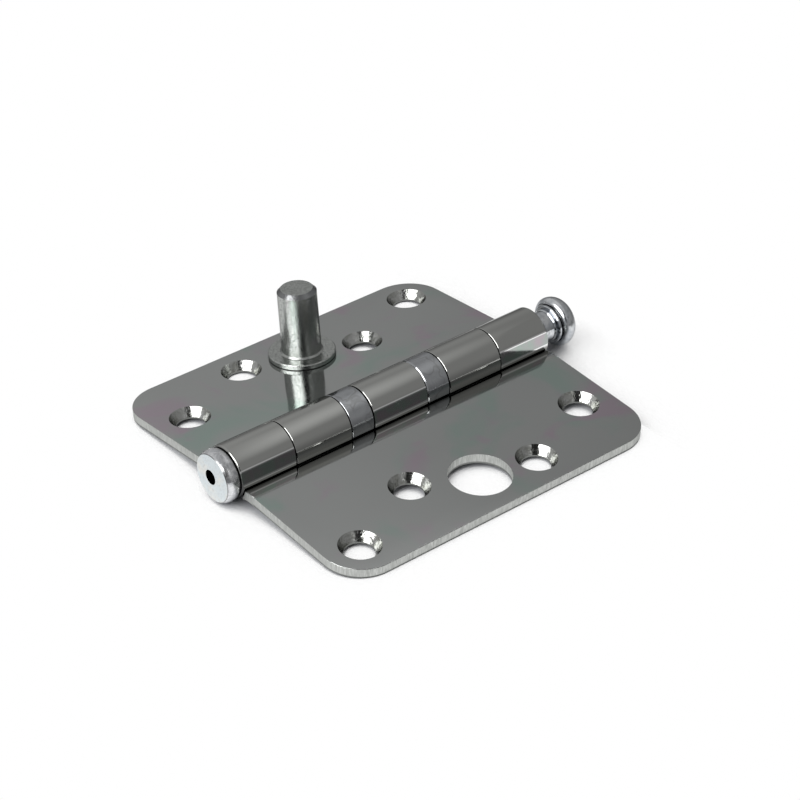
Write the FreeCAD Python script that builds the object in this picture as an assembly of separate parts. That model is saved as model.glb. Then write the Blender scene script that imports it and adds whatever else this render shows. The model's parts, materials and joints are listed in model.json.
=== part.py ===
import FreeCAD
import Part
import math
import os

# Ball bearing butt hinge with a loose pin, a pressed-in end plug and a security stud.
# It lies open on a table, on the outer edges of its leaves, with both countersunk faces up
# and its pin drawn out a little.
# Millimetres. X runs along the pin, the frame leaf is on +Y, the door leaf on -Y, +Z is up.

Vec = FreeCAD.Vector
ORIGIN = Vec(0, 0, 0)
ALONG_PIN = Vec(1, 0, 0)
UPWARD = Vec(0, 0, 1)

# Leaves
leaf_length = 89.0
leaf_width = 44.5
sheet = 2.5
corner_radius = 9.5
closed_gap = 2.2
edge_break = 0.2
axis_height = 6.75

# Rolled barrel, a little longer than the leaves
barrel_radius = 6.4
barrel_overhang = 0.5
barrel_end_round = 0.5
end_knuckle = 14.8
middle_knuckle = 15.4
bearing_space = 6.8
knuckle_gap = 0.3
knuckle_chamfer = 0.1
seam_angle = 8.0
joggle_radius = 12.0
notch_clearance = 0.35
notch_corner = 0.3

# Countersunk screw holes, staggered between two rows set in from the leaf's outer edge
screw_outer = 35.9
screw_inner = 14.65
near_row_inset = 17.6
far_row_inset = 8.4
screw_hole_radius = 3.45
countersink_radius = 4.88
countersink_land = 0.4

# Security stud on the frame leaf and its clearance hole in the door leaf
stud_inset = 12.5
stud_shift = 0.4
stud_height = 17.95
stud_tip_radius = 4.75
stud_root_radius = 4.8
stud_chamfer = 0.9
stud_bead = 0.4
flange_radius = 8.1
flange_thickness = 1.3
rivet_radius = 3.0
rivet_head = 0.9
rivet_clearance = 0.02
security_clearance = 2.55
swing_allowance = 1.3

# Loose pin: shaft, stepped collar with a relief groove, and a rounded button head
pin_clearance = 0.15
pin_pull = 5.7
pin_tip_gap = 1.0
pin_tip_chamfer = 0.8
step_radius = 4.15
step_length = 0.75
collar_radius = 4.8
collar_length = 0.75
collar_chamfer = 0.3
collar_clearance = 0.15
relief_radius = 4.4
relief_length = 0.25
seat_gap = 0.3
button_radius = 6.15
button_length = 4.2
button_underside_radius = 5.0
button_waist = 1.4
button_face_radius = 4.5

# End plug: flat-faced button pressed into the barrel, with a drift hole a little off its centre
plug_radius = 6.35
plug_length = 3.25
plug_face_radius = 5.7
plug_rim_radius = 6.0
plug_waist = 1.3
plug_gap = 0.4
plug_shank = 5.0
plug_clearance = 0.03
drift_hole_radius = 1.8
drift_hole_offset = 0.6
mouth_chamfer = 0.35

# Thrust ball bearings each side of the middle knuckle
cup_step = 0.05
cup_wall = 0.5
cup_gap = 0.3
cup_seat_chamfer = 0.5
cup_rim_chamfer = 0.1
race_clearance = 0.08
ball_radius = 0.6
ball_count = 10
ball_clearance = 0.03
groove_depth = 0.2
cage_thickness = 0.4
cage_inner_clearance = 0.18
cage_outer_clearance = 0.1
pocket_clearance = 0.05

# Sizes that follow
half_length = leaf_length / 2
barrel_half = half_length + barrel_overhang
leaf_drop = closed_gap / 2
bore_radius = barrel_radius - sheet
pin_radius = bore_radius - pin_clearance
mid_radius = barrel_radius - sheet / 2
joggle_reach = mid_radius + joggle_radius
joggle_angle = math.acos((joggle_radius + leaf_drop + sheet / 2) / joggle_reach)
flat_start = joggle_reach * math.sin(joggle_angle)
end_inner = barrel_half - end_knuckle
door_outer = end_inner - knuckle_gap
middle_half = middle_knuckle / 2
door_inner = middle_half + bearing_space
notch_radius = barrel_radius + notch_clearance
screw_near = leaf_width - near_row_inset
screw_far = leaf_width - far_row_inset
countersink_depth = sheet - countersink_land
stud_offset = leaf_width - stud_inset
security_hole_radius = stud_root_radius + security_clearance
security_offset = stud_offset + swing_allowance
overrun = 2 * corner_radius

# The leaves slope from the pin until the rounding of their outer lower edges touches the table.
edge_reach = leaf_width - edge_break
edge_depth = leaf_drop + sheet - edge_break
edge_slope = math.asin((axis_height - edge_break) / math.hypot(edge_reach, edge_depth))
droop = edge_slope - math.atan2(edge_depth, edge_reach)
droop_degrees = math.degrees(droop)

button_seat = barrel_half + seat_gap + pin_pull
pin_end = button_seat + button_length
relief_start = button_seat - relief_length
collar_start = relief_start - collar_length
step_start = collar_start - step_length
plug_seat = -barrel_half - plug_gap
plug_end = plug_seat - plug_length
shank_end = plug_shank - barrel_half
middle_of_length = (pin_end + plug_end) / 2
to_table = Vec(-middle_of_length, 0, axis_height)


def turned(outline):
    """Solid of revolution about the pin axis from edges drawn in the (x, radius) plane."""
    return Part.Face(Part.Wire(outline)).revolve(ORIGIN, ALONG_PIN, 360)


def corners(*points):
    """Straight edges through (x, radius) points, in order."""
    vertices = [Vec(x, radius, 0) for x, radius in points]
    return [Part.LineSegment(a, b).toShape() for a, b in zip(vertices, vertices[1:])]


def crown(widest, foot):
    """Arc edge that leaves a turned piece's widest (x, radius) point level and falls to its foot."""
    run = foot[0] - widest[0]
    fall = widest[1] - foot[1]
    bend = (run * run + fall * fall) / (2 * fall)
    half_turn = math.atan2(abs(run), bend - fall) / 2
    middle_x = widest[0] + math.copysign(bend * math.sin(half_turn), run)
    middle_radius = widest[1] - bend * (1 - math.cos(half_turn))
    return Part.Arc(Vec(*widest, 0), Vec(middle_x, middle_radius, 0), Vec(*foot, 0)).toShape()


def ring(x_start, x_end, inner, outer, chamfer=0.0):
    """Plain ring about the pin axis, its outer edge chamfered at the start if asked."""
    points = [(x_start, inner)]
    if chamfer:
        points.append((x_start, outer - chamfer))
    points.append((x_start + chamfer, outer))
    points.append((x_end, outer))
    points.append((x_end, inner))
    points.append((x_start, inner))
    return corners(*points)


def sheet_section():
    """Cross-section of the flat leaf and the joggle that takes it under the barrel."""
    slope = Vec(0, math.sin(joggle_angle), -math.cos(joggle_angle))
    bend_centre = slope * joggle_reach
    half_slope = Vec(0, math.sin(joggle_angle / 2), -math.cos(joggle_angle / 2))
    inner = slope * bore_radius
    outer = slope * barrel_radius
    top_bend = joggle_radius + sheet / 2
    low_bend = joggle_radius - sheet / 2
    top_start = Vec(0, flat_start, -leaf_drop)
    low_start = Vec(0, flat_start, -leaf_drop - sheet)
    top_edge = Vec(0, leaf_width, -leaf_drop)
    low_edge = Vec(0, leaf_width, -leaf_drop - sheet)
    edges = [
        Part.Arc(inner, bend_centre - half_slope * top_bend, top_start).toShape(),
        Part.LineSegment(top_start, top_edge).toShape(),
        Part.LineSegment(top_edge, low_edge).toShape(),
        Part.LineSegment(low_edge, low_start).toShape(),
        Part.Arc(low_start, bend_centre - half_slope * low_bend, outer).toShape(),
        Part.LineSegment(outer, inner).toShape(),
    ]
    return Part.Face(Part.Wire(edges))


def is_outer_corner(edge):
    """True for the two short upright edges at the leaf's outer corners."""
    box = edge.BoundBox
    upright = box.XLength < edge_break and box.YLength < edge_break
    return upright and box.YMin > leaf_width - edge_break


def is_outline(edge):
    """True for the long edges round the flat's outline, on its top and its underside."""
    box = edge.BoundBox
    flat = box.ZLength < edge_break
    at_side = abs(abs(box.Center.x) - half_length) < corner_radius
    at_front = abs(box.Center.y - leaf_width) < corner_radius
    beyond_joggle = box.YMin > flat_start - edge_break
    return flat and beyond_joggle and (at_side or at_front)


def notch(x_start, x_end):
    """Round cut that clears the other leaf's knuckles, with rounded inner corners."""
    cutter = Part.makeCylinder(notch_radius, x_end - x_start, Vec(x_start, 0, 0), ALONG_PIN)
    rims = [edge for edge in cutter.Edges if isinstance(edge.Curve, Part.Circle)]
    return cutter.makeFillet(notch_corner, rims)


def knuckle_edge(x, inwards):
    """Outer corner of a knuckle's section at x: rounded at the barrel's end, chamfered inside it."""
    at_barrel_end = abs(x) >= barrel_half
    size = barrel_end_round if at_barrel_end else knuckle_chamfer
    foot = (x, barrel_radius - size)
    top = (x + inwards * size, barrel_radius)
    edge = crown(top, foot) if at_barrel_end else corners(foot, top)[0]
    return foot, edge, top


def knuckle(x_start, x_end):
    """Sheet rolled round the pin, from the joggle under the barrel to the seam over the leaf."""
    start_foot, start_edge, start_top = knuckle_edge(x_start, 1)
    end_foot, end_edge, end_top = knuckle_edge(x_end, -1)
    outline = corners((x_start, bore_radius), start_foot)
    outline += [start_edge]
    outline += corners(start_top, end_top)
    outline += [end_edge]
    outline += corners(end_foot, (x_end, bore_radius), (x_start, bore_radius))
    section = Part.Face(Part.Wire(outline))
    joggle_degrees = math.degrees(joggle_angle)
    section.rotate(ORIGIN, ALONG_PIN, joggle_degrees - 90)
    return section.revolve(ORIGIN, ALONG_PIN, -(270 + joggle_degrees + seam_angle))


def screw_hole(x, y):
    """Countersunk hole cutter that opens on the leaf's upper face."""
    shaft = Part.makeCylinder(screw_hole_radius, sheet, Vec(x, y, -leaf_drop - sheet), UPWARD)
    foot = Vec(x, y, -leaf_drop - countersink_depth)
    cone = Part.makeCone(screw_hole_radius, countersink_radius, countersink_depth, foot, UPWARD)
    return shaft.fuse(cone)


def leaf(knuckles):
    """Blank leaf with its knuckles, in the leaf's own frame: pin axis on X, leaf towards +Y."""
    flat = sheet_section().extrude(ALONG_PIN * leaf_length)
    flat.translate(Vec(-half_length, 0, 0))
    flat = flat.makeFillet(corner_radius, [edge for edge in flat.Edges if is_outer_corner(edge)])
    flat = flat.makeFillet(edge_break, [edge for edge in flat.Edges if is_outline(edge)])
    stops = [-half_length - overrun]
    for x_start, x_end in knuckles:
        stops += [x_start, x_end]
    stops.append(half_length + overrun)
    gaps = list(zip(stops[::2], stops[1::2]))
    for x_start, x_end in gaps:
        if x_end > -half_length and x_start < half_length:
            flat = flat.cut(notch(x_start, x_end))
    rolled = flat.fuse([knuckle(x_start, x_end) for x_start, x_end in knuckles]).removeSplitter()
    near_row = [(-screw_outer, screw_near), (screw_inner, screw_near)]
    far_row = [(-screw_inner, screw_far), (screw_outer, screw_far)]
    for x, y in near_row + far_row:
        rolled = rolled.cut(screw_hole(x, y))
    return rolled


def lay_frame_side(shape):
    """Turn a shape drawn in the leaf's frame to the frame leaf's place over the table."""
    laid = shape.copy()
    laid.rotate(ORIGIN, ALONG_PIN, -droop_degrees)
    return laid


def lay_door_side(shape):
    """Turn a shape drawn in the leaf's frame to the door leaf's place over the table."""
    laid = lay_frame_side(shape)
    laid.rotate(ORIGIN, UPWARD, 180)
    return laid


def frame_leaf():
    """Leaf with the two end knuckles, the middle knuckle and the stud's rivet hole."""
    body = leaf(((-barrel_half, -end_inner), (-middle_half, middle_half), (end_inner, barrel_half)))
    rivet_hole = rivet_radius + rivet_clearance
    underside = Vec(stud_shift, stud_offset, -leaf_drop - sheet)
    hole = Part.makeCylinder(rivet_hole, sheet, underside, UPWARD)
    flare = Part.makeCone(rivet_hole + rivet_head, rivet_hole, rivet_head, underside, UPWARD)
    body = body.cut(hole.fuse(flare))
    seat_floor = step_start - pin_pull - collar_clearance
    seat = Part.makeCylinder(
        collar_radius + collar_clearance, barrel_half - seat_floor, Vec(seat_floor, 0, 0), ALONG_PIN
    )
    mouth = Part.makeCone(
        bore_radius + mouth_chamfer, bore_radius, mouth_chamfer, Vec(-barrel_half, 0, 0), ALONG_PIN
    )
    return lay_frame_side(body.cut([seat, mouth]))


def door_leaf():
    """Leaf with two knuckles and the plain hole that the stud enters as the hinge shuts."""
    body = leaf(((-door_outer, -door_inner), (door_inner, door_outer)))
    underside = Vec(-stud_shift, security_offset, -leaf_drop - sheet)
    hole = Part.makeCylinder(security_hole_radius, sheet, underside, UPWARD)
    return lay_door_side(body.cut(hole))


def security_stud():
    """Headed stud: chamfered shank, thin flange and a tail riveted in the leaf."""
    chamfer_foot = stud_height - stud_chamfer
    outline = corners(
        (-sheet, 0),
        (-sheet, rivet_radius + rivet_head),
        (-sheet + rivet_head, rivet_radius),
        (0, rivet_radius),
        (0, flange_radius - edge_break),
        (edge_break, flange_radius),
        (flange_thickness - edge_break, flange_radius),
        (flange_thickness, flange_radius - edge_break),
        (flange_thickness, stud_root_radius + stud_bead),
        (flange_thickness + stud_bead, stud_root_radius),
        (chamfer_foot, stud_tip_radius),
        (stud_height, stud_tip_radius - stud_chamfer),
        (stud_height, 0),
        (-sheet, 0),
    )
    stud = turned(outline)
    stud.rotate(ORIGIN, Vec(0, 1, 0), -90)
    stud.translate(Vec(stud_shift, stud_offset, -leaf_drop))
    return lay_frame_side(stud)


def hinge_pin():
    """Loose pin: chamfered tip, plain shaft, stepped collar and rounded button head."""
    tip = shank_end + pin_tip_gap + seat_gap + pin_pull
    widest = (button_seat + button_waist, button_radius)
    underside = (button_seat, button_underside_radius)
    face = (pin_end, button_face_radius)
    outline = corners(
        (pin_end, 0),
        (tip, 0),
        (tip, pin_radius - pin_tip_chamfer),
        (tip + pin_tip_chamfer, pin_radius),
        (step_start, pin_radius),
        (step_start, step_radius - collar_chamfer),
        (step_start + collar_chamfer, step_radius),
        (collar_start, step_radius),
        (collar_start, collar_radius - collar_chamfer),
        (collar_start + collar_chamfer, collar_radius),
        (relief_start, collar_radius),
        (relief_start, relief_radius),
        (button_seat, relief_radius),
        underside,
    )
    outline += [crown(widest, underside), crown(widest, face)]
    outline += corners(face, (pin_end, 0))
    return turned(outline)


def end_plug():
    """Button that closes the barrel's far end, drilled through for a drift punch."""
    shank_radius = bore_radius - plug_clearance
    widest = (plug_seat - plug_waist, plug_radius)
    rim = (plug_seat, plug_rim_radius)
    face = (plug_end, plug_face_radius)
    outline = corners(
        (plug_end, 0),
        (shank_end, 0),
        (shank_end, shank_radius - edge_break),
        (shank_end - edge_break, shank_radius),
        (plug_seat, shank_radius),
        rim,
    )
    outline += [crown(widest, rim), crown(widest, face)]
    outline += corners(face, (plug_end, 0))
    hole_mouth = Vec(plug_end, drift_hole_offset, 0)
    drift_hole = Part.makeCylinder(drift_hole_radius, shank_end - plug_end, hole_mouth, ALONG_PIN)
    return turned(outline).cut(drift_hole)


def bearing():
    """Pieces of the bearing on the +X side of the middle knuckle, by name."""
    cup_radius = barrel_radius - cup_step
    cup_bore = cup_radius - cup_wall
    race_radius = cup_bore - race_clearance
    pitch_radius = (bore_radius + cup_bore) / 2
    groove_radius = ball_radius + ball_clearance
    ball_x = middle_half + bearing_space / 2
    face_offset = groove_radius - groove_depth
    cup_face = ball_x - face_offset
    race_face = ball_x + face_offset
    cup_end = door_inner - cup_gap
    raceway = Part.makeTorus(pitch_radius, groove_radius, Vec(ball_x, 0, 0), ALONG_PIN)
    cup = turned(
        corners(
            (middle_half, bore_radius),
            (middle_half, cup_radius - cup_seat_chamfer),
            (middle_half + cup_seat_chamfer, cup_radius),
            (cup_end - cup_rim_chamfer, cup_radius),
            (cup_end, cup_radius - cup_rim_chamfer),
            (cup_end, cup_bore),
            (cup_face, cup_bore),
            (cup_face, bore_radius),
            (middle_half, bore_radius),
        )
    )
    race = turned(ring(race_face, door_inner, bore_radius, race_radius, edge_break))
    cage_start = ball_x - cage_thickness / 2
    cage_inner = pin_radius + cage_inner_clearance
    cage_outer = cup_bore - cage_outer_clearance
    cage = turned(ring(cage_start, cage_start + cage_thickness, cage_inner, cage_outer))
    pocket = Part.makeCylinder(
        ball_radius + pocket_clearance, cage_thickness, Vec(cage_start, pitch_radius, 0), ALONG_PIN
    )
    pieces = {"bearing_cup": cup.cut(raceway), "bearing_race": race.cut(raceway)}
    pockets = []
    for index in range(ball_count):
        turn = 360 * index / ball_count
        seat = pocket.copy()
        seat.rotate(ORIGIN, ALONG_PIN, turn)
        pockets.append(seat)
        ball = Part.makeSphere(ball_radius, Vec(ball_x, pitch_radius, 0))
        ball.rotate(ORIGIN, ALONG_PIN, turn)
        pieces[f"ball_{index + 1}"] = ball
    pieces["ball_cage"] = cage.cut(pockets)
    return pieces


nodes = {
    "frame_leaf": frame_leaf(),
    "door_leaf": door_leaf(),
    "security_stud": security_stud(),
    "hinge_pin": hinge_pin(),
    "end_plug": end_plug(),
}
for name, piece in bearing().items():
    nodes[f"head_side_{name}"] = piece
    nodes[f"plug_side_{name}"] = piece.mirror(ORIGIN, ALONG_PIN)

os.makedirs("parts", exist_ok=True)
for name, shape in nodes.items():
    shape.translate(to_table)
    shape.exportStep(f"parts/{name}.step")
    box = shape.BoundBox
    print(name, shape.isValid(), len(shape.Solids), round(shape.Volume, 2), box)
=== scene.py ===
import json
import math
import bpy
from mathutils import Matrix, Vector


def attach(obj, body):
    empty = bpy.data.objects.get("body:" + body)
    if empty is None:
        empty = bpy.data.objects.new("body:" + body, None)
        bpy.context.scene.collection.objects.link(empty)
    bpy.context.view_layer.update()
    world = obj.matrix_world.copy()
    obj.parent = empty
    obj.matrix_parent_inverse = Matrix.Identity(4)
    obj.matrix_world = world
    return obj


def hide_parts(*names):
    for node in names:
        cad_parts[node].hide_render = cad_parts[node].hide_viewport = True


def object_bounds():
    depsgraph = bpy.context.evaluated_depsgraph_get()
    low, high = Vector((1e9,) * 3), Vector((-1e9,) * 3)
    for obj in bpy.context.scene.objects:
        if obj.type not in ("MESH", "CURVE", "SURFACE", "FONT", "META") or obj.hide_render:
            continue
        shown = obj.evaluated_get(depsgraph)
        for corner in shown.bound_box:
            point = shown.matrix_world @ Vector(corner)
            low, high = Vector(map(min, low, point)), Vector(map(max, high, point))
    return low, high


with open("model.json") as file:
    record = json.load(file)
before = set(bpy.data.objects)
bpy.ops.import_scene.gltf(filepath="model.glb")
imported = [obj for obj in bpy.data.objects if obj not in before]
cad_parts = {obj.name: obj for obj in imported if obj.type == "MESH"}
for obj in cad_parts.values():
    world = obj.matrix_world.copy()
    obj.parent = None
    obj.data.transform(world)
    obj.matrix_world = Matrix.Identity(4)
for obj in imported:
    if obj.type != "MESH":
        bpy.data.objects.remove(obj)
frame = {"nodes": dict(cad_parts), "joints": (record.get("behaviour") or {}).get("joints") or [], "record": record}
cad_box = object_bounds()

from types import SimpleNamespace

import bmesh
import bpy
from mathutils import Matrix, Vector

# Looks of a ball bearing butt hinge: bright zinc plate on rolled sheet, turned pin and plug, a headed stud.
# Metres and degrees. Azimuth 0 looks along +Y and turns towards -X when negative.
micron = 0.000001

# Camera at the photograph's viewing angle, for a square picture
camera_place = Vector((-0.29694, -0.37032, 0.32025))
camera_azimuth = -38.843
camera_elevation = 33.581
camera_roll = -0.79
camera_lens = 111.2
camera_near = 0.01
sensor_width = 36.0

# Floor sheet, how far from the hinge it is shaded, and the run over which the shading changes past the leaf
sheet_margin = 0.02
shadow_reach = 0.012
shading_fade = 0.001

# Lamps, each with its azimuth and elevation, the angles that it fills and its radiance
lamp_distance = 2.0
softbox_aim = (-83.0, 38.0)
softbox_angles = (50.0, 35.0)
softbox_radiance = 5.0
strip_aim = (-2.0, 35.0)
strip_angles = (9.0, 40.0)
strip_radiance = 1.5
card_place = Vector((0.115, -0.01, 0.26))
card_size = (0.5, 0.2)
card_radiance = 0.36

# Dark part of the room round the camera
dark_inner_angle = 16.0
dark_outer_angle = 30.0
dark_level = 0.04

# Geometry that the finishes follow. A pair is where a region starts to show and where it shows fully.
mounts = {mount["name"]: mount for mount in frame["record"]["mounts"]}
joints = {joint["name"]: joint for joint in frame["joints"]}
pin_axis = Vector(joints["door_swing"]["pos_m"])
across_pin = (0.0, 1.0, 1.0)
barrel_radius = 0.0064
barrel_limit = (barrel_radius + 0.0001, barrel_radius + 0.0002)
plate_start = (0.0095, 0.0105)
countersink_facing = 0.563
edge_bottom_height = (0.0005, 0.0004)
collar_start = (0.0039, 0.0041)
collar_end = (0.0051, 0.0048)
head_start = (0.0049, 0.0053)
drift_hole_edge = (0.0026, 0.0024)
plug_crease_depth = (0.00025, 0.0001)
stud_chamfer_rise = 0.7
stud_chamfer_height = (0.012, 0.014)

# Flats pressed along the knuckles, as angles round the pin from straight up
pressed_angle = 78.5
pressed_half = 15.5
pressed_edge = math.cos(math.radians(pressed_half))
low_line_angle = 92.0

# Mesh of the pressed leaves
smooth_angle = 12.0
weld_distance = 0.0000001

# Reach of the painted shade that darkens gaps and corners
plate_gap = 0.0018
frame_root_gap = 0.002
door_root_gap = 0.005
ring_gap = 0.005
pin_gap = 0.0015
plug_gap = 0.001


class Graph:
    """Wires one node tree. Each method adds a node and returns the socket that the next one reads."""

    def __init__(self, tree):
        self.tree = tree

    def feed(self, socket, value):
        """Link a socket to another node's output, or set its own value."""
        if isinstance(value, bpy.types.NodeSocket):
            self.tree.links.new(value, socket)
        else:
            socket.default_value = value

    def node(self, kind, inputs=None, **settings):
        """New node with its settings, and its sockets fed by name or number."""
        made = self.tree.nodes.new("ShaderNode" + kind)
        for name, value in settings.items():
            setattr(made, name, value)
        for name, value in (inputs or {}).items():
            self.feed(made.inputs[name], value)
        return made

    def math(self, operation, first, second=0.0):
        """Plain arithmetic on two numbers."""
        return self.node("Math", {0: first, 1: second}, operation=operation).outputs[0]

    def times(self, first, second):
        """Product of two numbers, which is where two shares overlap."""
        return self.math("MULTIPLY", first, second)

    def either(self, first, second):
        """Larger of two shares."""
        return self.math("MAXIMUM", first, second)

    def opposite(self, share):
        """What a share leaves of one."""
        return self.math("SUBTRACT", 1.0, share)

    def apart(self, first, second):
        """Distance between two numbers."""
        return self.math("ABSOLUTE", self.math("SUBTRACT", first, second))

    def vector(self, operation, first, second=(0.0, 0.0, 0.0)):
        """Vector arithmetic that gives a vector."""
        return self.node("VectorMath", {0: first, 1: second}, operation=operation).outputs["Vector"]

    def length(self, vector):
        """Length of a vector."""
        return self.node("VectorMath", {0: vector}, operation="LENGTH").outputs["Value"]

    def along(self, vector, direction):
        """Part of a vector that runs along a unit direction."""
        inputs = {0: vector, 1: direction}
        return self.node("VectorMath", inputs, operation="DOT_PRODUCT").outputs["Value"]

    def part(self, vector, axis):
        """One coordinate of a vector."""
        return self.node("SeparateXYZ", {0: vector}).outputs[axis]

    def span(self, value, low, high, to_low=0.0, to_high=1.0):
        """Smooth step from one number to another as the value goes from low to high."""
        inputs = {"Value": value, "From Min": low, "From Max": high, "To Min": to_low, "To Max": to_high}
        return self.node("MapRange", inputs, interpolation_type="SMOOTHSTEP").outputs["Result"]

    def mix(self, factor, first, second):
        """Colour between two colours."""
        inputs = {0: factor, 6: first, 7: second}
        return self.node("Mix", inputs, data_type="RGBA").outputs[2]

    def blend(self, factor, first, second):
        """Number between two numbers."""
        return self.node("Mix", {0: factor, 2: first, 3: second}, data_type="FLOAT").outputs[0]

    def merge(self, factor, first, second):
        """Shader between two shaders."""
        return self.node("MixShader", {0: factor, 1: first, 2: second}).outputs[0]

    def noise(self, place, scale, detail=2.0, roughness=0.5, distortion=0.0):
        """Smooth noise about one half."""
        inputs = {
            "Vector": place,
            "Scale": scale,
            "Detail": detail,
            "Roughness": roughness,
            "Distortion": distortion,
        }
        return self.node("TexNoise", inputs).outputs["Fac"]

    def openness(self, distance):
        """Share of the view from a point that nothing closes off within a distance."""
        return self.node("AmbientOcclusion", {"Distance": distance}, samples=8).outputs["AO"]

    def bump(self, height, distance, normal):
        """Normal tilted by a height of up to a distance."""
        inputs = {"Height": height, "Distance": distance, "Normal": normal}
        return self.node("Bump", inputs).outputs["Normal"]

    def rounded(self, radius):
        """Normal that rolls over sharp edges."""
        return self.node("Bevel", {"Radius": radius}, samples=4).outputs["Normal"]


def grey(level, tint=(1.0, 1.0, 1.0)):
    """Colour of a grey level with a slight tint."""
    return (level * tint[0], level * tint[1], level * tint[2], 1.0)


def start_metal(name, edge_tint=1.0):
    """New metal material, with its graph and its shader."""
    material = bpy.data.materials.new(name)
    material.use_nodes = True
    graph = Graph(material.node_tree)
    shader = material.node_tree.nodes["Principled BSDF"]
    shader.inputs["Metallic"].default_value = 1.0
    shader.inputs["Specular Tint"].default_value = grey(edge_tint)
    return material, graph, shader


def edge_wear_and_glint(graph, rolled):
    """Share of a point's neighbourhood that turns over a sharp edge, where the finishes lighten the colour for
    wear and as a painted glint.
    """
    true_normal = graph.node("NewGeometry").outputs["Normal"]
    return graph.span(graph.along(rolled, true_normal), 0.995, 0.9)


def painted_gap_shade(graph, gap):
    """Share of painted shade in gaps and corners narrower than a distance."""
    return graph.span(graph.openness(gap), 0.6, 0.3)


def around_pin(graph, place):
    """Point that depends on the run along the pin and the distance from it, and not on the turn round it."""
    from_axis = graph.vector("SUBTRACT", place, pin_axis)
    off_axis = graph.length(graph.vector("MULTIPLY", from_axis, across_pin))
    return graph.node("CombineXYZ", {"X": graph.part(from_axis, "X"), "Y": off_axis}).outputs[0]


def over_barrel(back, angle):
    """Direction from the pin's axis, turned from straight up towards the side away from a leaf's plate."""
    side = math.copysign(1.0, back["pos_m"][1])
    turn = math.radians(angle)
    return Vector((0.0, -side * math.sin(turn), math.cos(turn)))


def press_flats(name, body, back, finish):
    """Leaf with a flat pressed along the far side of its knuckles, in place of the plainly rolled one."""
    shape = bmesh.new()
    shape.from_mesh(frame["nodes"][name].data)
    bmesh.ops.remove_doubles(shape, verts=shape.verts, dist=weld_distance)
    outwards = over_barrel(back, pressed_angle)
    cut = bmesh.ops.bisect_plane(
        shape,
        geom=shape.verts[:] + shape.edges[:] + shape.faces[:],
        dist=weld_distance,
        plane_co=pin_axis + outwards * barrel_radius * pressed_edge,
        plane_no=outwards,
        clear_outer=True,
    )
    rims = [part for part in cut["geom_cut"] if isinstance(part, bmesh.types.BMEdge)]
    bmesh.ops.holes_fill(shape, edges=rims, sides=0)
    mesh = bpy.data.meshes.new(name + "_pressed")
    shape.to_mesh(mesh)
    shape.free()
    mesh.attributes.remove(mesh.attributes["custom_normal"])
    mesh.shade_smooth()
    mesh.set_sharp_from_angle(angle=math.radians(smooth_angle))
    mesh.materials.clear()
    mesh.materials.append(finish)
    piece = bpy.data.objects.new(name + "_pressed", mesh)
    bpy.context.scene.collection.objects.link(piece)
    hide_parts(name)
    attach(piece, body)


def leaf_regions(graph, back):
    """Shares of a leaf's surface, one for each way it was made, and masks for its painted shade and painted
    highlight lines, with the point's place and height.
    """
    coordinates = graph.node("TexCoord")
    place = coordinates.outputs["Object"]
    direction = coordinates.outputs["Normal"]
    leaf_up = -Vector(back["axis"])
    back_level = leaf_up.dot(Vector(back["pos_m"]))
    height = graph.math("SUBTRACT", graph.along(place, leaf_up), back_level)
    facing = graph.along(direction, leaf_up)
    endwards = graph.math("ABSOLUTE", graph.part(direction, "X"))
    from_axis = graph.vector("MULTIPLY", graph.vector("SUBTRACT", place, pin_axis), across_pin)
    reach = graph.length(from_axis)
    away = graph.vector("NORMALIZE", from_axis)

    plate = graph.span(reach, *plate_start)
    beyond_barrel = graph.span(reach, *barrel_limit)
    steep = graph.times(graph.span(graph.math("ABSOLUTE", facing), 0.3, 0.1), plate)
    notch_wall = graph.times(graph.span(graph.along(direction, away), -0.3, -0.7), beyond_barrel)
    end_face = graph.span(endwards, 0.8, 0.95)
    sheared = graph.either(graph.either(steep, notch_wall), end_face)
    edge_bottom = graph.times(steep, graph.span(height, *edge_bottom_height))
    # knuckle end faces and the low side of their rounding, given painted near-black shade in shear_colour
    low_side = graph.span(graph.part(away, "Z"), 0.57, 0.17)
    low_round = graph.times(graph.span(endwards, 0.15, 0.4), low_side)
    barrel_end_shade = graph.times(graph.either(end_face, low_round), graph.opposite(beyond_barrel))
    machined = graph.times(graph.span(graph.apart(facing, countersink_facing), 0.12, 0.04), plate)

    nearness = graph.along(away, over_barrel(back, pressed_angle))
    pressed = graph.span(nearness, pressed_edge, pressed_edge + 0.004)
    # painted highlight: light lines along both edges of the pressed flat
    upper_line = graph.span(graph.apart(nearness, pressed_edge), 0.016, 0.006)
    off_line = graph.math("ABSOLUTE", graph.along(away, over_barrel(back, low_line_angle - 90.0)))
    low_line = graph.times(graph.span(off_line, 0.028, 0.012), graph.span(nearness, 0.6, 0.8))
    return SimpleNamespace(
        place=place,
        height=height,
        plate=plate,
        sheared=sheared,
        edge_bottom=edge_bottom,
        barrel_end_shade=barrel_end_shade,
        machined=machined,
        pressed=pressed,
        painted_highlight_lines=graph.either(upper_line, low_line),
    )


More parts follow.
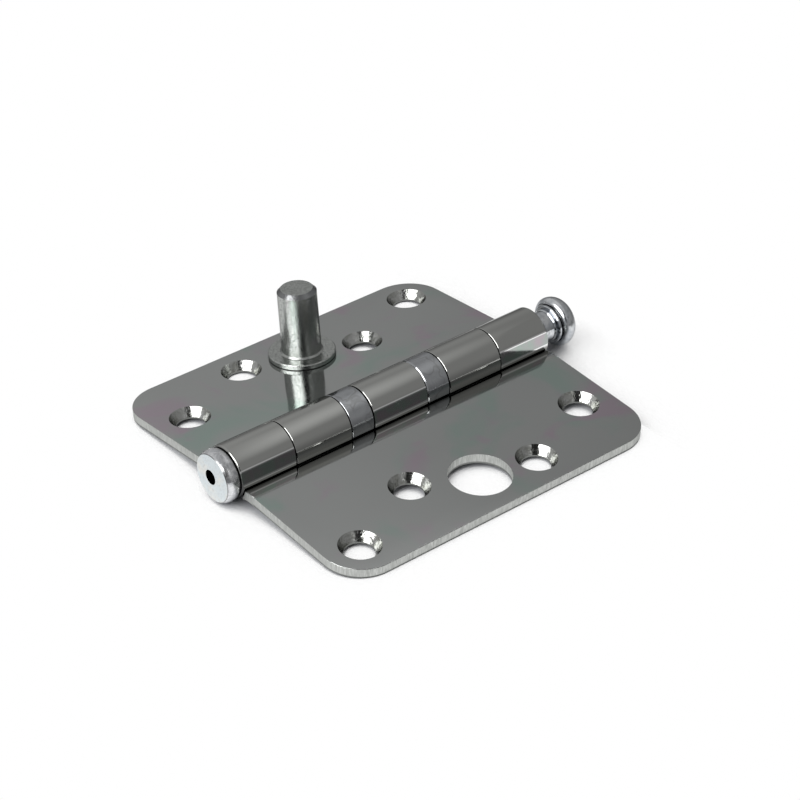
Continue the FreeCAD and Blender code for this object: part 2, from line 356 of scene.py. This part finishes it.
def plate_colour(graph, region):
    """Zinc with rainbow clouds on the plate, and a tinted film on the pressed flats between painted highlight
    lines.
    """
    cloud = graph.noise(region.place, scale=46.0, detail=3.0, roughness=0.55, distortion=0.6)
    other_place = graph.vector("ADD", region.place, (3.1, 1.7, 0.4))
    other_cloud = graph.noise(other_place, scale=62.0, detail=3.0, roughness=0.55, distortion=0.5)
    plain = grey(0.43, (0.985, 1.01, 0.995))
    green = grey(0.42, (0.87, 1.05, 0.97))
    mauve = grey(0.42, (1.07, 0.92, 1.03))
    flat_colour = graph.mix(graph.span(cloud, 0.5, 0.68), plain, green)
    flat_colour = graph.mix(graph.span(other_cloud, 0.54, 0.72), flat_colour, mauve)
    film = graph.noise(region.place, scale=230.0, distortion=1.0)
    green_film = grey(0.44, (0.88, 1.05, 0.95))
    pink_film = grey(0.44, (1.05, 0.93, 1.0))
    sheen = graph.mix(graph.span(film, 0.3, 0.7), green_film, pink_film)
    rolled_colour = graph.mix(region.pressed, grey(0.43, (0.99, 1.0, 0.965)), sheen)
    # painted highlight lines along the flat's edges, lightened in colour
    rolled_colour = graph.mix(region.painted_highlight_lines, rolled_colour, grey(0.9))
    return graph.mix(region.plate, rolled_colour, flat_colour)


def shear_colour(graph, region, streaks):
    """Streaked bare edge, darker along its bottom, with painted near-black shade on the barrel's ends and the low
    side of their rounding.
    """
    dull = grey(0.42, (0.97, 1.0, 0.96))
    bright = grey(0.64, (0.98, 1.0, 0.97))
    colour = graph.mix(graph.span(streaks, 0.3, 0.7), dull, bright)
    # darker along the bottom of the sheared edge
    colour = graph.mix(region.edge_bottom, colour, grey(0.24, (0.97, 1.0, 0.97)))
    # painted shade: barrel ends coloured near-black
    return graph.mix(region.barrel_end_shade, colour, grey(0.08))


def countersink_colour(graph, region):
    """Hazy machined zinc."""
    haze = graph.noise(region.place, scale=500.0, detail=4.0, roughness=0.65, distortion=0.6)
    dull = grey(0.36, (0.98, 1.0, 0.93))
    bright = grey(0.5, (0.99, 1.0, 0.98))
    return graph.mix(graph.span(haze, 0.35, 0.65), dull, bright)


def leaf_finish(name, back, root_gap):
    """Mirror-like zinc plate with a rainbow tint, sheared edges, machined countersinks, and painted shade in
    narrow gaps and along the barrel's root.
    """
    material, graph, shader = start_metal(name, edge_tint=0.55)
    region = leaf_regions(graph, back)
    streak_place = graph.vector("MULTIPLY", region.place, (1.0, 1.0, 0.1))
    streaks = graph.noise(streak_place, scale=3200.0, detail=4.0, roughness=0.65)
    turning = graph.noise(graph.node("CombineXYZ", {"X": region.height}).outputs[0], scale=9000.0)
    chatter = graph.noise(region.place, scale=900.0, distortion=0.8)
    smudge = graph.noise(region.place, scale=180.0, detail=4.0, roughness=0.65)
    waves = graph.noise(region.place, scale=85.0, detail=1.0)
    rolled = graph.rounded(50.0 * micron)

    bare = graph.either(region.sheared, region.barrel_end_shade)
    colour = graph.mix(bare, plate_colour(graph, region), shear_colour(graph, region, streaks))
    colour = graph.mix(region.machined, colour, countersink_colour(graph, region))
    # edges lightened for wear and as a painted glint
    colour = graph.mix(graph.times(edge_wear_and_glint(graph, rolled), 0.15), colour, grey(0.6))
    # painted shade: near-black in narrow gaps and, off the plate, along the barrel's root
    root_shade = graph.times(painted_gap_shade(graph, root_gap), graph.opposite(region.plate))
    narrow_shade = graph.either(painted_gap_shade(graph, plate_gap), root_shade)
    graph.feed(shader.inputs["Base Color"], graph.mix(narrow_shade, colour, grey(0.02)))

    roughness = graph.span(smudge, 0.35, 0.75, 0.06, 0.12)
    roughness = graph.blend(region.sheared, roughness, 0.45)
    roughness = graph.blend(region.machined, roughness, graph.span(turning, 0.3, 0.7, 0.1, 0.2))
    graph.feed(shader.inputs["Roughness"], roughness)

    normal = graph.bump(waves, 12.0 * micron, rolled)
    normal = graph.bump(graph.times(streaks, region.sheared), 40.0 * micron, normal)
    normal = graph.bump(graph.times(turning, region.machined), 3.0 * micron, normal)
    normal = graph.bump(graph.times(chatter, region.machined), 100.0 * micron, normal)
    graph.feed(shader.inputs["Normal"], normal)
    return material


def ring_finish():
    """Plated bearing cups: the plate's grey, a little bluer and smudged, with fine turning lines."""
    material, graph, shader = start_metal("turned_bearing_ring", edge_tint=0.55)
    place = graph.node("TexCoord").outputs["Object"]
    smudge = graph.noise(place, scale=320.0, detail=4.0, roughness=0.6, distortion=0.8)
    contour = graph.noise(place, scale=170.0, distortion=0.6)
    turning = graph.noise(around_pin(graph, place), scale=7000.0)
    rolled = graph.rounded(60.0 * micron)

    dull = grey(0.41, (0.97, 1.0, 1.04))
    bright = grey(0.46, (0.97, 1.0, 1.03))
    colour = graph.mix(graph.span(smudge, 0.35, 0.7), dull, bright)
    stain = graph.times(graph.span(graph.apart(contour, 0.5), 0.03, 0.0), 0.35)
    colour = graph.mix(stain, colour, grey(0.2, (1.0, 1.0, 0.94)))
    # edges lightened for wear and as a painted glint
    colour = graph.mix(graph.times(edge_wear_and_glint(graph, rolled), 0.3), colour, grey(0.7))
    # painted shade: cups darkened towards near-black in narrow gaps
    graph.feed(shader.inputs["Base Color"], graph.mix(painted_gap_shade(graph, ring_gap), colour, grey(0.02)))
    graph.feed(shader.inputs["Roughness"], graph.span(smudge, 0.3, 0.75, 0.07, 0.18))
    graph.feed(shader.inputs["Normal"], graph.bump(turning, 1.5 * micron, rolled))
    return material


def pin_finish():
    """Bright bluish zinc on the turned pin, scuffed, with painted shade in its corners and lines on its collar."""
    material, graph, shader = start_metal("bright_zinc_pin", edge_tint=0.55)
    coordinates = graph.node("TexCoord")
    place = coordinates.outputs["Object"]
    turned_place = around_pin(graph, place)
    off_axis = graph.part(turned_place, "Y")
    endwards = graph.math("ABSOLUTE", graph.part(coordinates.outputs["Normal"], "X"))
    bloom = graph.noise(place, scale=300.0, detail=4.0, roughness=0.6, distortion=0.7)
    scratches = graph.noise(place, scale=700.0, detail=5.0, roughness=0.7, distortion=1.2)
    scuff = graph.span(scratches, 0.54, 0.68)
    grooves = graph.span(graph.noise(turned_place, scale=2400.0, roughness=0.6), 0.48, 0.58, 0.0, 0.85)
    turning = graph.noise(turned_place, scale=6000.0)
    on_collar = graph.times(graph.span(off_axis, *collar_start), graph.span(off_axis, *collar_end))
    on_side = graph.span(endwards, 0.95, 0.8)

    dull = grey(0.52, (0.95, 1.0, 1.06))
    bright = grey(0.74, (0.98, 1.0, 1.02))
    colour = graph.mix(graph.span(bloom, 0.35, 0.65), dull, bright)
    colour = graph.mix(graph.times(scuff, 0.55), colour, grey(0.24, (0.97, 1.0, 1.05)))
    lines = graph.times(grooves, graph.times(on_collar, on_side))
    colour = graph.mix(lines, colour, grey(0.15, (0.85, 1.0, 1.2)))
    # painted shade: darkened towards near-black in narrow gaps and corners
    colour = graph.mix(painted_gap_shade(graph, pin_gap), colour, grey(0.03, (0.9, 0.97, 1.15)))
    graph.feed(shader.inputs["Base Color"], colour)
    roughness = graph.span(bloom, 0.3, 0.7, 0.07, 0.15)
    roughness = graph.blend(graph.span(off_axis, *head_start), roughness, 0.24)
    graph.feed(shader.inputs["Roughness"], graph.blend(scuff, roughness, 0.26))
    normal = graph.bump(turning, 4.0 * micron, graph.rounded(40.0 * micron))
    graph.feed(shader.inputs["Normal"], graph.bump(bloom, 12.0 * micron, normal))
    return material


def plug_finish():
    """Zinc on the end plug: a matte speckled face inside a mottled bright rim, with painted shade along the
    crease, in the drift hole and in narrow gaps.
    """
    material, graph, shader = start_metal("matte_faced_plug")
    coordinates = graph.node("TexCoord")
    place = coordinates.outputs["Object"]
    on_face = graph.span(graph.along(coordinates.outputs["Normal"], (-1.0, 0.0, 0.0)), 0.97, 0.99)
    depth = graph.math("SUBTRACT", graph.part(place, "X"), cad_box[0][0])
    off_axis = graph.part(around_pin(graph, place), "Y")
    mottle = graph.noise(place, scale=620.0, detail=4.0, roughness=0.6, distortion=0.6)
    haze = graph.noise(place, scale=260.0)
    speck = graph.noise(place, scale=2300.0, detail=4.0, roughness=0.65)

    dull = grey(0.54, (0.98, 1.0, 1.04))
    bright = grey(0.82, (0.99, 1.0, 1.02))
    rim_colour = graph.mix(graph.span(mottle, 0.35, 0.65), dull, bright)
    # painted shade: a dark line on the rim along its crease with the face
    crease_shade = graph.times(graph.span(depth, *plug_crease_depth), 0.7)
    rim_colour = graph.mix(crease_shade, rim_colour, grey(0.15))
    # painted shade: the drift hole's wall coloured near-black
    hole_shade = graph.times(graph.span(off_axis, *drift_hole_edge), graph.opposite(on_face))
    rim_colour = graph.mix(hole_shade, rim_colour, grey(0.01))
    cool = grey(0.78, (0.93, 1.0, 1.03))
    warm = grey(0.8, (1.0, 1.0, 0.96))
    face_colour = graph.mix(graph.span(haze, 0.4, 0.65), cool, warm)
    face_colour = graph.mix(graph.span(speck, 0.5, 0.7, 0.0, 0.6), face_colour, grey(0.5))
    colour = graph.mix(on_face, rim_colour, face_colour)
    # painted shade: darkened towards near-black in narrow gaps
    graph.feed(shader.inputs["Base Color"], graph.mix(painted_gap_shade(graph, plug_gap), colour, grey(0.02)))
    rim_roughness = graph.span(mottle, 0.3, 0.7, 0.16, 0.28)
    graph.feed(shader.inputs["Roughness"], graph.blend(on_face, rim_roughness, 0.5))
    normal = graph.bump(mottle, 30.0 * micron, graph.rounded(100.0 * micron))
    graph.feed(shader.inputs["Normal"], graph.bump(speck, 10.0 * micron, normal))
    return material


def stud_finish():
    """Cold-headed zinc-plated stud: dark satin grey, finely speckled, with edges lightened for wear and as a
    painted glint.
    """
    material, graph, shader = start_metal("headed_stud_zinc", edge_tint=0.6)
    coordinates = graph.node("TexCoord")
    place = coordinates.outputs["Object"]
    off_slope = graph.apart(graph.part(coordinates.outputs["Normal"], "Z"), stud_chamfer_rise)
    near_top = graph.span(graph.part(place, "Z"), *stud_chamfer_height)
    chamfer = graph.times(graph.span(off_slope, 0.25, 0.15), near_top)
    drawn_place = graph.vector("MULTIPLY", place, (1.0, 1.0, 0.3))
    drawn = graph.noise(drawn_place, scale=1500.0, detail=3.0, roughness=0.6)
    pits = graph.noise(place, scale=3000.0, detail=3.0, roughness=0.7, distortion=0.5)
    rolled = graph.rounded(60.0 * micron)

    dull = grey(0.42, (0.96, 1.0, 0.96))
    bright = grey(0.5, (0.97, 1.0, 0.97))
    colour = graph.mix(graph.span(drawn, 0.3, 0.7), dull, bright)
    colour = graph.mix(graph.span(pits, 0.52, 0.64, 0.0, 0.75), colour, grey(0.16, (0.96, 1.0, 0.96)))
    colour = graph.mix(graph.times(chamfer, 0.85), colour, grey(0.24, (0.98, 1.0, 1.03)))
    # edges lightened for wear and as a painted glint
    wear_and_glint = graph.times(edge_wear_and_glint(graph, rolled), 0.6)
    graph.feed(shader.inputs["Base Color"], graph.mix(wear_and_glint, colour, grey(0.75, (1.0, 1.0, 0.96))))
    roughness = graph.span(pits, 0.3, 0.7, 0.11, 0.22)
    graph.feed(shader.inputs["Roughness"], graph.blend(chamfer, roughness, 0.08))
    normal = graph.bump(pits, 40.0 * micron, rolled)
    graph.feed(shader.inputs["Normal"], graph.bump(drawn, 6.0 * micron, normal))
    return material


def ball_finish():
    """Polished bearing steel with a faint lapped haze."""
    material, graph, shader = start_metal("polished_bearing_steel")
    place = graph.node("TexCoord").outputs["Object"]
    haze = graph.noise(place, scale=1400.0, detail=3.0)
    graph.feed(shader.inputs["Base Color"], graph.mix(haze, grey(0.62), grey(0.72, (0.99, 1.0, 1.01))))
    graph.feed(shader.inputs["Roughness"], graph.span(haze, 0.3, 0.7, 0.05, 0.12))
    return material


def cage_finish():
    """Pressed sheet brass with fine blanking lines."""
    material, graph, shader = start_metal("pressed_brass")
    place = graph.node("TexCoord").outputs["Object"]
    patina = graph.noise(place, scale=700.0, detail=3.0)
    lines = graph.noise(around_pin(graph, place), scale=9000.0)
    colour = graph.mix(patina, (0.58, 0.42, 0.17, 1.0), (0.74, 0.57, 0.27, 1.0))
    graph.feed(shader.inputs["Base Color"], colour)
    graph.feed(shader.inputs["Roughness"], graph.span(patina, 0.3, 0.7, 0.22, 0.36))
    normal = graph.bump(lines, 3.0 * micron, graph.rounded(60.0 * micron))
    graph.feed(shader.inputs["Normal"], normal)
    return material


def dress_hinge():
    """Give every piece of the frame its finish, by its name or by the record's own slot."""
    by_slot = {
        "bearing_ring": ring_finish(),
        "stud_steel": stud_finish(),
        "ball_steel": ball_finish(),
        "cage_brass": cage_finish(),
    }
    frame_back = mounts["frame_leaf_back"]
    door_back = mounts["door_leaf_back"]
    by_node = {
        "frame_leaf": leaf_finish("frame_leaf_zinc", frame_back, frame_root_gap),
        "door_leaf": leaf_finish("door_leaf_zinc", door_back, door_root_gap),
        "hinge_pin": pin_finish(),
        "end_plug": plug_finish(),
    }
    for name, piece in frame["nodes"].items():
        slot = piece.material_slots[0]
        slot.material = by_node[name] if name in by_node else by_slot[slot.material.name]
    press_flats("frame_leaf", "frame", frame_back, by_node["frame_leaf"])
    press_flats("door_leaf", "door", door_back, by_node["door_leaf"])


def towards(azimuth, elevation):
    """Unit direction from the object at an azimuth and elevation."""
    turn = math.radians(azimuth)
    rise = math.radians(elevation)
    return Vector((math.sin(turn) * math.cos(rise), -math.cos(turn) * math.cos(rise), math.sin(rise)))


def sheet_finish():
    """White paper that keeps the hinge's soft shadow, with a painted contact shadow close to it, and is clear to
    the camera where none falls.
    """
    material = bpy.data.materials.new("white_sheet")
    material.use_nodes = True
    material.node_tree.nodes.clear()
    graph = Graph(material.node_tree)
    openness = graph.openness(shadow_reach)
    shaded = grey(0.45, (0.97, 0.99, 1.04))
    # painted contact shadow: paper darkened where little of the view is open near the hinge
    paper_colour = graph.mix(graph.span(openness, 0.2, 0.6), shaded, grey(0.93))
    paper = graph.node("BsdfDiffuse", {"Color": paper_colour}).outputs[0]
    glow = graph.node("Emission", {"Color": grey(1.0), "Strength": 1.0}).outputs[0]
    clear = graph.node("BsdfTransparent").outputs[0]

    path = graph.node("LightPath").outputs
    seen = graph.either(path["Is Camera Ray"], path["Is Glossy Ray"])
    seen = graph.either(seen, path["Is Transmission Ray"])
    between = graph.span(openness, 0.3, 0.6, 0.0, 0.9)
    between = graph.math("ADD", between, graph.span(openness, 0.6, 0.98, 0.0, 0.1))
    beyond = graph.span(openness, 0.35, 0.8, 0.0, 0.6)
    beyond = graph.math("ADD", beyond, graph.span(openness, 0.8, 0.99, 0.0, 0.4))
    leaf_end = max(corner[0] for corner in frame["nodes"]["door_leaf"].bound_box)
    run = graph.part(graph.node("TexCoord").outputs["Object"], "X")
    past_leaf = graph.span(run, leaf_end, leaf_end + shading_fade)
    white = graph.times(seen, graph.blend(past_leaf, between, beyond))
    surface = graph.merge(white, paper, graph.merge(path["Is Camera Ray"], glow, clear))
    graph.node("OutputMaterial", {"Surface": surface}, is_active_output=True)
    return material


def lay_floor():
    """Sheet of paper under the hinge, a little larger than it."""
    low, high = cad_box
    left, right = low[0] - sheet_margin, high[0] + sheet_margin
    front, rear = low[1] - sheet_margin, high[1] + sheet_margin
    corners = [(left, front, 0.0), (right, front, 0.0), (right, rear, 0.0), (left, rear, 0.0)]
    mesh = bpy.data.meshes.new("floor")
    mesh.from_pydata(corners, [], [(0, 1, 2, 3)])
    mesh.materials.append(sheet_finish())
    floor = bpy.data.objects.new("floor", mesh)
    bpy.context.scene.collection.objects.link(floor)


def light_room():
    """Grey room, lighter on the left, darker low down and round the camera, which itself sees white."""
    world = bpy.data.worlds.new("grey_room")
    world.use_nodes = True
    bpy.context.scene.world = world
    graph = Graph(world.node_tree)
    direction = graph.node("TexCoord").outputs["Generated"]
    height = graph.part(direction, "Z")
    leftwards = graph.along(direction, towards(camera_azimuth - 90.0, 0.0))
    closeness = graph.along(direction, towards(camera_azimuth, camera_elevation))
    dark_start = math.cos(math.radians(dark_outer_angle))
    dark_full = math.cos(math.radians(dark_inner_angle))
    level = graph.span(leftwards, -0.3, 0.3, 0.34, 0.56)
    level = graph.times(level, graph.span(height, -0.1, 0.45, 0.6, 1.0))
    level = graph.times(level, graph.span(closeness, dark_start, dark_full, 1.0, dark_level))

    path = graph.node("LightPath").outputs
    mirrored = graph.either(path["Is Glossy Ray"], path["Is Transmission Ray"])
    mirrored = graph.times(mirrored, graph.span(height, -0.2, -0.4))
    seen = graph.either(path["Is Camera Ray"], mirrored)
    backdrop = world.node_tree.nodes["Background"]
    backdrop.inputs["Color"].default_value = grey(1.0)
    graph.feed(backdrop.inputs["Strength"], graph.blend(seen, level, 1.0))


def hang_lamp(name, place, size, radiance, soft=False):
    """Rectangular lamp that faces the hinge, of an even radiance or fading towards its edges."""
    width, height = size
    lamp = bpy.data.lights.new(name, "AREA")
    lamp.shape = "RECTANGLE"
    lamp.size = width
    lamp.size_y = height
    lamp.energy = radiance * math.pi * width * height
    if soft:
        lamp.use_nodes = True
        graph = Graph(lamp.node_tree)
        corner = graph.node("NewGeometry").outputs["Parametric"]
        middle = graph.vector("SUBTRACT", corner, (0.5, 0.5, 0.0))
        off_middle = graph.length(graph.vector("MULTIPLY", middle, (1.0, 1.0, 0.0)))
        graph.feed(lamp.node_tree.nodes["Emission"].inputs["Strength"], graph.span(off_middle, 0.5, 0.0))
    carrier = bpy.data.objects.new(name, lamp)
    carrier.location = place
    carrier.rotation_mode = "QUATERNION"
    carrier.rotation_quaternion = place.to_track_quat("Z", "Y")
    bpy.context.scene.collection.objects.link(carrier)


def filling(angles):
    """Width and height that fill two angles at the lamps' distance."""
    return [2.0 * lamp_distance * math.tan(math.radians(angle) / 2.0) for angle in angles]


def hang_lamps():
    """Large softbox on the left, a thin strip on the right and a faint card overhead."""
    softbox_place = towards(*softbox_aim) * lamp_distance
    strip_place = towards(*strip_aim) * lamp_distance
    hang_lamp("left_softbox", softbox_place, filling(softbox_angles), softbox_radiance)
    hang_lamp("right_strip", strip_place, filling(strip_angles), strip_radiance, soft=True)
    hang_lamp("overhead_card", card_place, card_size, card_radiance, soft=True)


def set_camera():
    """Camera where the photograph was taken from."""
    lens = bpy.data.cameras.new("camera")
    lens.sensor_width = sensor_width
    lens.lens = camera_lens
    lens.clip_start = camera_near
    camera = bpy.data.objects.new("camera", lens)
    turn = Matrix.Rotation(math.radians(camera_azimuth), 4, "Z")
    tilt = Matrix.Rotation(math.radians(90.0 - camera_elevation), 4, "X")
    roll = Matrix.Rotation(math.radians(camera_roll), 4, "Z")
    camera.matrix_world = Matrix.Translation(camera_place) @ turn @ tilt @ roll
    bpy.context.scene.collection.objects.link(camera)
    bpy.context.scene.camera = camera


dress_hinge()
lay_floor()
light_room()
hang_lamps()
set_camera()
bpy.context.scene.view_settings.view_transform = "Standard"
